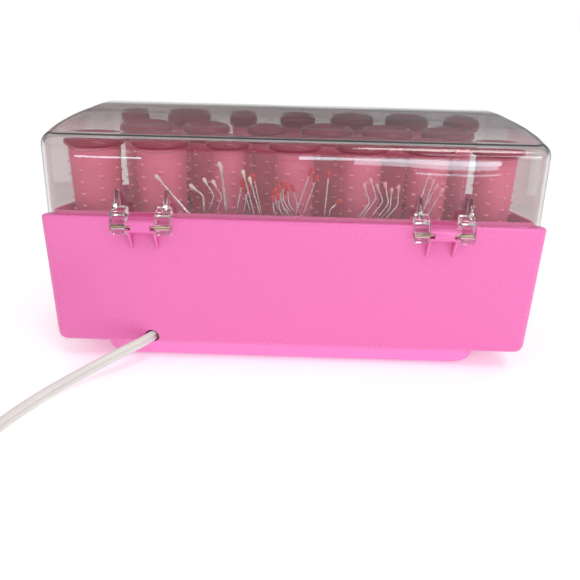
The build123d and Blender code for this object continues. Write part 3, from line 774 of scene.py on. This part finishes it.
def barrel_mesh(size):
    r_low, r_top, _, columns = SIZES[size]
    h = CAP_Z - BASE_Z
    at = lambda z: r_low + (r_top - r_low) * (z - BASE_Z) / h
    profile = [(0, 139.0), (5.4, 139.0), (6.0, 138.4), (6.0, BASE_Z + 0.9), (6.6, BASE_Z)]
    profile += [(r_low - 1.2, BASE_Z), (r_low - 0.35, BASE_Z + 0.35), (r_low, BASE_Z + 1.2)]
    profile += [(at(z), z) for z in (92.0, 92.1)]
    profile += [(at(z), z) for z in (100, 110, 120, 130, 140)]
    profile += [(at(146.2), 146.2), (at(146.5) + 0.35, 146.5), (at(147.3) + 0.4, 147.3), (at(147.6), 147.6),
                (at(149.4), 149.4), (at(149.7) + 0.35, 149.7), (at(150.6) + 0.4, 150.6), (at(150.9), 150.9),
                (at(152), 152.0), (0, 152.0)]
    body = turned("body", profile, 64, M["barrel"], 40)
    verts, faces = [], []
    for c in range(columns):
        a = 2 * math.pi * c / columns
        for row in range(6 + (c + 1) % 2):
            z = 142.0 - 4.2 * (c % 2) - 8.4 * row
            r = at(z)
            vs, fs = nub(r * math.cos(a), r * math.sin(a), z, a, 3.6, 1.7, 1.75)
            faces += [tuple(len(verts) + q for q in f) for f in fs]
            verts += vs
    nubs = made("nubs", verts, faces, M["barrel"], 50)
    first = len(body.data.polygons)
    both = joined("barrel_" + size, [body, nubs])
    me = both.data
    # the nubs take the lighter copy of the roller pink, a painted highlight
    me.materials.append(M["nub"])
    for face in me.polygons[first:]:
        face.material_index = 1
    bpy.data.objects.remove(both)
    return me


def cap_mesh(size):
    r = SIZES[size][2]
    top = CAP_Z + CAP_T
    profile = [(0, CAP_Z)] + [(r - 3.0, CAP_Z)] + arc(r - 3.0, CAP_Z + 3.0, 3.0, -80, 0, 6)
    profile += arc(r - 3.6, top - 3.6, 3.6, 8, 90, 8)
    dish = r - 6.0
    profile += [(dish + 1.2, top), (dish + 0.5, top - 0.15), (dish, top - 0.6), (dish - 0.35, top - 1.25),
                (dish - 1.1, top - 1.6), (dish * 0.5, top - 1.6), (0, top - 1.6)]
    o = turned("cap_" + size, profile, 72, M["cap"], 40)
    me = o.data
    bpy.data.objects.remove(o)
    return me


BARRELS = {s: barrel_mesh(s) for s in SIZES}
CAPS = {s: cap_mesh(s) for s in SIZES}
for number, size in enumerate(ORDER, start=1):
    lo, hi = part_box(f"roller_{number:02d}_cap")
    x, y = (lo.x + hi.x) / 2, (lo.y + hi.y) / 2
    spin = random.uniform(0, 2 * math.pi)
    for kind, me, slot in (("barrel", BARRELS[size], "roller_pink"), ("cap", CAPS[size], "cap_crimson")):
        o = bpy.data.objects.new(f"r{number:02d}_{kind}", me)
        scene.collection.objects.link(o)
        o.matrix_world = Matrix.Translation((x, y, 0)) @ Matrix.Rotation(spin, 4, "Z")
        piece(o, f"roller_{number:02d}", slot, f"roller_{number:02d}_{kind}")

# ---- roller pins --------------------------------------------------------------------------------
PINS = [
    (-83.8, [(-91.4, 136.8), (-57.0, 94.5)], [(-96.2, 131.0), (-61.8, 88.7)]),
    (-81.5, [(-69.0, 130.6), (-61.0, 124.3), (-60.2, 80.6)], [(-73.0, 128.0), (-66.4, 121.8), (-65.4, 80.6)]),
    (-79.2, [(-60.2, 134.3), (-53.6, 123.2), (-71.0, 80.6)], [(-54.2, 133.1), (-48.2, 122.8), (-64.5, 80.6)]),
    (-82.65, [(-49.2, 146.0), (-47.4, 134.0), (-42.6, 80.6)], [(-44.0, 141.0), (-42.0, 130.0), (-37.6, 80.6)]),
    (-80.35, [(-34.4, 134.2), (-44.2, 80.6)], [(-30.2, 131.0), (-39.2, 80.6)]),
    (-83.8, [(-33.6, 141.4), (-18.0, 80.6)], [(-29.2, 137.0), (-13.2, 80.6)]),
    (-79.2, [(-27.2, 138.4), (-14.8, 80.6)], [(-34.0, 129.4), (-19.8, 80.6)]),
    (-82.65, [(-12.6, 129.4), (-11.6, 119.5), (12.8, 80.6)], [(-9.4, 131.8), (-8.0, 120.4), (17.0, 80.6)]),
    (-80.35, [(-7.6, 134.0), (-6.4, 121.0), (18.0, 80.6)], [(-4.4, 132.4), (-3.0, 119.6), (22.2, 80.6)]),
    (-83.8, [(-10.4, 126.8), (-9.2, 117.0), (7.6, 80.6)], [(-13.8, 125.2), (-13.0, 115.0), (3.0, 80.6)]),
    (-79.2, [(-1.0, 131.4), (2.6, 120.2), (8.4, 80.6)], [(-5.4, 127.4), (-7.8, 120.4), (3.4, 80.6)]),
    (-81.5, [(11.2, 143.0), (-8.0, 80.6)], [(15.4, 139.0), (-3.0, 80.6)]),
    (-82.65, [(23.2, 142.6), (19.4, 80.6)], [(31.6, 123.6), (24.8, 116.5), (24.2, 80.6)]),
    (-83.8, [(50.8, 138.2), (55.6, 126.0), (28.6, 83.0)], [(46.8, 134.6), (51.4, 122.6), (24.4, 83.6)]),
    (-81.5, [(55.4, 134.2), (60.4, 123.2), (33.0, 80.8)], [(60.8, 135.4), (64.2, 122.0), (37.8, 80.8)]),
    (-79.2, [(70.3, 133.0), (70.8, 120.2), (41.4, 80.8)], [(65.8, 131.0), (65.8, 118.0), (37.0, 80.8)]),
    (-82.65, [(89.0, 142.4), (75.0, 80.8)], [(92.4, 138.6), (79.2, 80.8)]),
    (-80.35, [(95.4, 135.0), (72.0, 80.8)], [(99.4, 132.0), (76.6, 80.8)]),
]
BEADS = ["cream"] * 4 + ["red", "cream"] + ["red"] * 7 + ["pink"] * 5


def wire_points(points, reach=2.4):
    """A bent wire's line, with each bend eased over a few millimetres."""
    out = [points[0]]
    for a, b, c in zip(points, points[1:], points[2:]):
        d0, d1 = min(reach, (b - a).length * 0.4), min(reach, (c - b).length * 0.4)
        p, q = b + (a - b).normalized() * d0, b + (c - b).normalized() * d1
        for k in range(7):
            t = k / 6
            out.append(p * (1 - t) ** 2 + b * 2 * t * (1 - t) + q * t**2)
    return out + [points[-1]]


def tube(points, radii, sides=10):
    loops = []
    for i, p in enumerate(points):
        t = (points[min(i + 1, len(points) - 1)] - points[max(i - 1, 0)]).normalized()
        u = t.cross(Vector((0, 1, 0))).normalized()
        v = t.cross(u)
        loops.append([p + u * (radii[i] * math.cos(2 * math.pi * k / sides))
                      + v * (radii[i] * math.sin(2 * math.pi * k / sides)) for k in range(sides)])
    return loops


wires, beads = [], {"cream": [], "red": [], "pink": []}
for number, ((y, leg_a, leg_b), colour) in enumerate(zip(PINS, BEADS)):
    if number in (0, 1, 3):
        back = [(x + 0.5, z - 1.9 * (z - 80) / 50) for x, z in leg_a]
        pts = [Vector((x, y, z)) for x, z in leg_a] + [Vector((x, min(y + 3.4, -79.2), z)) for x, z in back[::-1]]
    else:
        pts = [Vector((x, y, z)) for x, z in leg_a + leg_b[::-1]]
    line = wire_points(pts)
    wires.append(lofted("wire", tube(line, [0.5] * len(line)), M["steel"], "caps", 60))
    for end, inner_pt in ((line[0], line[1]), (line[-1], line[-2])):
        d = (inner_pt - end).normalized()
        profile = [(-1.35, 0.05), (-1.3, 0.35), (-1.1, 0.75), (-0.7, 1.12), (-0.2, 1.33), (0.4, 1.38), (1.1, 1.28),
                   (1.9, 1.06), (2.8, 0.84), (3.6, 0.7), (4.2, 0.6), (4.4, 0.45)]
        beads[colour].append(lofted("bead", tube([end + d * s for s, r in profile], [r for s, r in profile], 18),
                                    M["bead_" + colour], "caps", 60))
piece(joined("pin_wires", wires), "base", "pin_wire", "hair_pins")
for colour, parts in beads.items():
    piece(joined("pin_beads_" + colour, parts), "base", "pin_wire")

# ---- CAD pieces that keep their shape -----------------------------------------------------------
# the bottom cover takes the plinth's paler copy of the pink, which is painted light
KEPT = {
    "bottom_cover": "plinth_painted_light", "rubber_feet": "rubber", "cover_screws": "aluminium", "roller_deck": "deck",
    "ready_light": "lens", "heater_plate": "aluminium", "heating_posts": "aluminium",
    "heater_element": "element", "thermostat": "thermostat", "cord_clamp": "black", "wiring": "sleeve",
}
for name, material in KEPT.items():
    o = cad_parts[name]
    o.data.materials.clear()
    o.data.materials.append(M[material])

# ---- floor, world and lights --------------------------------------------------------------------
floor_mat, nt, b = tree_of("floor")
at = nt.nodes.new("ShaderNodeTexCoord").outputs["Object"]
nt.links.new(mixed(nt, ranged(nt, noise(nt, at, 3.0, 3.0), 0.0, 1.0), (0.9, 0.9, 0.9), (0.94, 0.94, 0.94)),
             b.inputs["Base Color"])
b.inputs["Roughness"].default_value = 0.75
b.inputs["Specular IOR Level"].default_value = 0.2
b.inputs["Emission Color"].default_value = (1, 1, 1, 1)
b.inputs["Emission Strength"].default_value = 0.27
floor = made("floor", [(-20, -20, 0), (20, -20, 0), (20, 20, 0), (-20, 20, 0)], [(0, 1, 2, 3)], floor_mat, scale=1.0)
floor.location.z = -0.0002

world = bpy.data.worlds.new("studio")
scene.world = world
world.use_nodes = True
wt = world.node_tree
bg = wt.nodes["Background"]
direction = wt.nodes.new("ShaderNodeTexCoord").outputs["Generated"]
split = wt.nodes.new("ShaderNodeSeparateXYZ")
wt.links.new(direction, split.inputs[0])
ramp = wt.nodes.new("ShaderNodeValToRGB")
stops = [(0.0, (0.72, 0.72, 0.72)), (0.485, (1.0, 1.0, 1.0)), (0.522, (1.0, 1.0, 1.0)),
         (0.545, (0.42, 0.43, 0.43)), (0.6, (0.36, 0.38, 0.38)), (0.68, (0.6, 0.6, 0.61)),
         (0.8, (0.74, 0.74, 0.76)), (1.0, (0.8, 0.8, 0.8))]
ramp.color_ramp.elements[0].position, ramp.color_ramp.elements[0].color = stops[0][0], (*stops[0][1], 1)
ramp.color_ramp.elements[1].position, ramp.color_ramp.elements[1].color = stops[-1][0], (*stops[-1][1], 1)
for pos, col in stops[1:-1]:
    e = ramp.color_ramp.elements.new(pos)
    e.color = (*col, 1)
level = ranged(wt, split.outputs["Z"], 0.0, 1.0, -1.0, 1.0)
wt.links.new(level, ramp.inputs["Fac"])
# a little warmer to one side and cooler to the other, darkest straight ahead
across = wt.nodes.new("ShaderNodeValToRGB")
across.color_ramp.elements[0].position, across.color_ramp.elements[0].color = 0.0, (1.05, 1.0, 0.98, 1)
across.color_ramp.elements[1].position, across.color_ramp.elements[1].color = 1.0, (0.98, 1.05, 1.06, 1)
for pos, col in ((0.3, (1.25, 1.05, 1.0)), (0.44, (0.75, 0.66, 0.66)), (0.5, (0.5, 0.5, 0.52)),
                 (0.58, (0.8, 0.88, 0.9)), (0.72, (1.15, 1.3, 1.32))):
    e = across.color_ramp.elements.new(pos)
    e.color = (*col, 1)
wt.links.new(ranged(wt, split.outputs["X"], 0.0, 1.0, -1.0, 1.0), across.inputs["Fac"])
streak = noise(wt, direction, 1.0, 3.0, 0.6, (3.0, 3.0, 22.0))
low_band = ranged(wt, split.outputs["Z"], 0.0, 1.0, 0.05, 0.12)
high_band = ranged(wt, split.outputs["Z"], 1.0, 0.0, 0.4, 0.7)
band = summed(wt, low_band, high_band, "MULTIPLY")
mult = wt.nodes.new("ShaderNodeMix")
mult.data_type = "RGBA"
mult.blend_type = "MULTIPLY"
wt.links.new(summed(wt, band, ranged(wt, streak, 0.55, 1.0), "MULTIPLY"), mult.inputs[0])
wt.links.new(ramp.outputs["Color"], mult.inputs[6])
wt.links.new(across.outputs["Color"], mult.inputs[7])
# dimmer ahead of the rear, so the roof shows what stands under it
ahead = wt.nodes.new("ShaderNodeMix")
ahead.data_type = "RGBA"
ahead.blend_type = "MULTIPLY"
wt.links.new(summed(wt, band, ranged(wt, split.outputs["Y"], 0.0, 1.0, 0.1, 0.5), "MULTIPLY"), ahead.inputs[0])
wt.links.new(mult.outputs[2], ahead.inputs[6])
ahead.inputs[7].default_value = (0.55, 0.5, 0.52, 1.0)
wt.links.new(ahead.outputs[2], bg.inputs["Color"])
bg.inputs["Strength"].default_value = 1.0


def aimed(name, kind, at, target, color=(1, 1, 1)):
    data = bpy.data.lights.new(name, kind)
    data.color = color
    o = bpy.data.objects.new(name, data)
    scene.collection.objects.link(o)
    o.location = at
    o.rotation_mode = "QUATERNION"
    o.rotation_quaternion = (Vector(target) - Vector(at)).to_track_quat("-Z", "Y")
    return data


def softbox(name, at, target, size, radiance, color=(1, 1, 1)):
    data = aimed(name, "AREA", at, target, color)
    data.shape = "RECTANGLE"
    data.size, data.size_y = size
    data.energy = radiance * math.pi * size[0] * size[1]
    return data


key = aimed("key", "SUN", (0.35, -0.75, 1.3), (0, 0, 0), (1.0, 0.985, 0.97))
key.energy, key.angle = 0.62, math.radians(18)
softbox("fill_right", (0.58, -0.8, 0.4), (0.13, -0.08, 0.05), (0.3, 0.3), 3.6, (0.9, 0.94, 1.0))
softbox("window", (0.75, -1.25, 0.75), (0.05, 0, 0.12), (0.9, 0.12), 7.0, (0.9, 0.96, 1.0))
softbox("strip_left", (-0.95, -0.85, 0.9), (-0.05, 0, 0.12), (0.5, 0.1), 7.0)
# low strips that only show as reflections in the lid's rear wall
for name, x, z, wide, high, radiance in (
    ("low_strip", 0.172, 0.0375, 0.35, 0.009, 8.5), ("low_strip_under", 0.215, 0.0295, 0.25, 0.007, 5.0),
    ("low_line_right", 0.27, 0.0177, 0.16, 0.003, 5.0),
    ("low_line_left", -0.336, 0.028, 0.15, 0.003, 9.0),
):
    softbox(name, (x, -0.75, z), (x, 0.0, z), (wide, high), radiance, (0.58, 0.93, 1.0))
    bpy.data.objects[name].visible_diffuse = False
    bpy.data.objects[name].visible_camera = False
